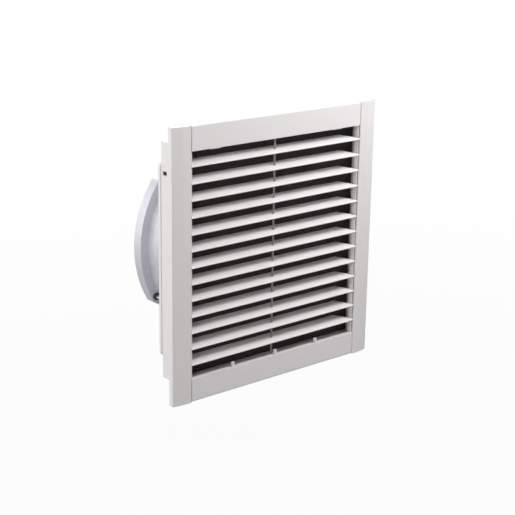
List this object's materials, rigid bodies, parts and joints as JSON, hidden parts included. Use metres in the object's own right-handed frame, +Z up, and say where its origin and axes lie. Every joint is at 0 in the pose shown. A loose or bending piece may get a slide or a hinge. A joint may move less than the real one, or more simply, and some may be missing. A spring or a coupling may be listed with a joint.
{
  "type": "cabinet filter fan",
  "caption": "Square filter fan for an enclosure: a louvred drop-down cover on a flanged frame, a dark filter mat and a round metal axial fan behind.",
  "frame": {"origin": "centre of the plane where the flange seats on the cabinet's panel", "axes": "+Z up, +Y back into the cabinet along the fan's axis, +X to the right seen from the front"},
  "size_m": [0.316, 0.109, 0.336],
  "materials": {
    "frame_plastic": "fine-textured light grey moulding",
    "cover_plastic": "fine-textured light grey moulding",
    "tray_plastic": "smooth light grey moulding",
    "gasket_foam": "closed-cell foam",
    "filter_fibre": "dark bonded fibre mat",
    "grid_plastic": "moulded lattice",
    "clip_plastic": "black nylon",
    "galvanised_sheet": "pressed sheet steel with a pale grey coat",
    "bright_zinc": "bright zinc plate",
    "dark_steel": "dark phosphated steel",
    "rubber_black": "black rubber",
    "bracket_steel": "zinc-coated pressed steel",
    "motor_aluminium": "die cast",
    "core_steel": "stacked laminations",
    "copper_winding": "enamelled copper wire",
    "bearing_steel": "ground steel",
    "shaft_steel": "ground steel",
    "rotor_paint": "black paint",
    "blade_paint": "black paint on sheet steel",
    "guard_wire": "zinc-phosphated welded wire",
    "capacitor_case": "moulded case",
    "terminal_plastic": "moulded polyamide",
    "terminal_brass": "plated brass"
  },
  "bodies": {
    "frame": {"base_frame": "frame_plastic", "panel_gasket": "gasket_foam", "hinge_pins": "bright_zinc", "filter_mat": "filter_fibre", "filter_grid": "grid_plastic", "fan_tray": "tray_plastic", "tray_clips": "clip_plastic", "tray_screws": "bright_zinc", "fan_shroud": "galvanised_sheet", "rear_rim": "galvanised_sheet", "fan_stays": "bright_zinc", "stay_grommets": "rubber_black", "stay_nuts": "dark_steel", "motor_bracket": "bracket_steel", "motor_flange": "motor_aluminium", "motor_screws": "bright_zinc", "stator_core": "core_steel", "stator_windings": "copper_winding", "front_bearing": "bearing_steel", "rear_bearing": "bearing_steel", "preload_washer": "bearing_steel", "finger_guard": "guard_wire", "guard_screws": "bright_zinc", "capacitor": "capacitor_case", "capacitor_clip": "bracket_steel", "terminal_block": "terminal_plastic", "terminal_screws": "terminal_brass", "earth_screw": "terminal_brass"},
    "cover": {"louvre_cover": "cover_plastic", "louvre_slats": "cover_plastic"},
    "impeller": {"shaft": "shaft_steel", "retaining_ring": "dark_steel", "rotor_can": "rotor_paint", "impeller_blades": "blade_paint"}
  },
  "joints": [
    {"name": "cover_swing", "type": "hinge", "parent": "frame", "child": "cover", "pos_m": [0, -0.00625, -0.16525], "axis": [1, 0, 0], "range_deg": [0, 110]},
    {"name": "impeller_spin", "type": "hinge", "parent": "frame", "child": "impeller", "pos_m": [0, 0.06, 0], "axis": [0, 1, 0], "continuous": true}
  ]
}
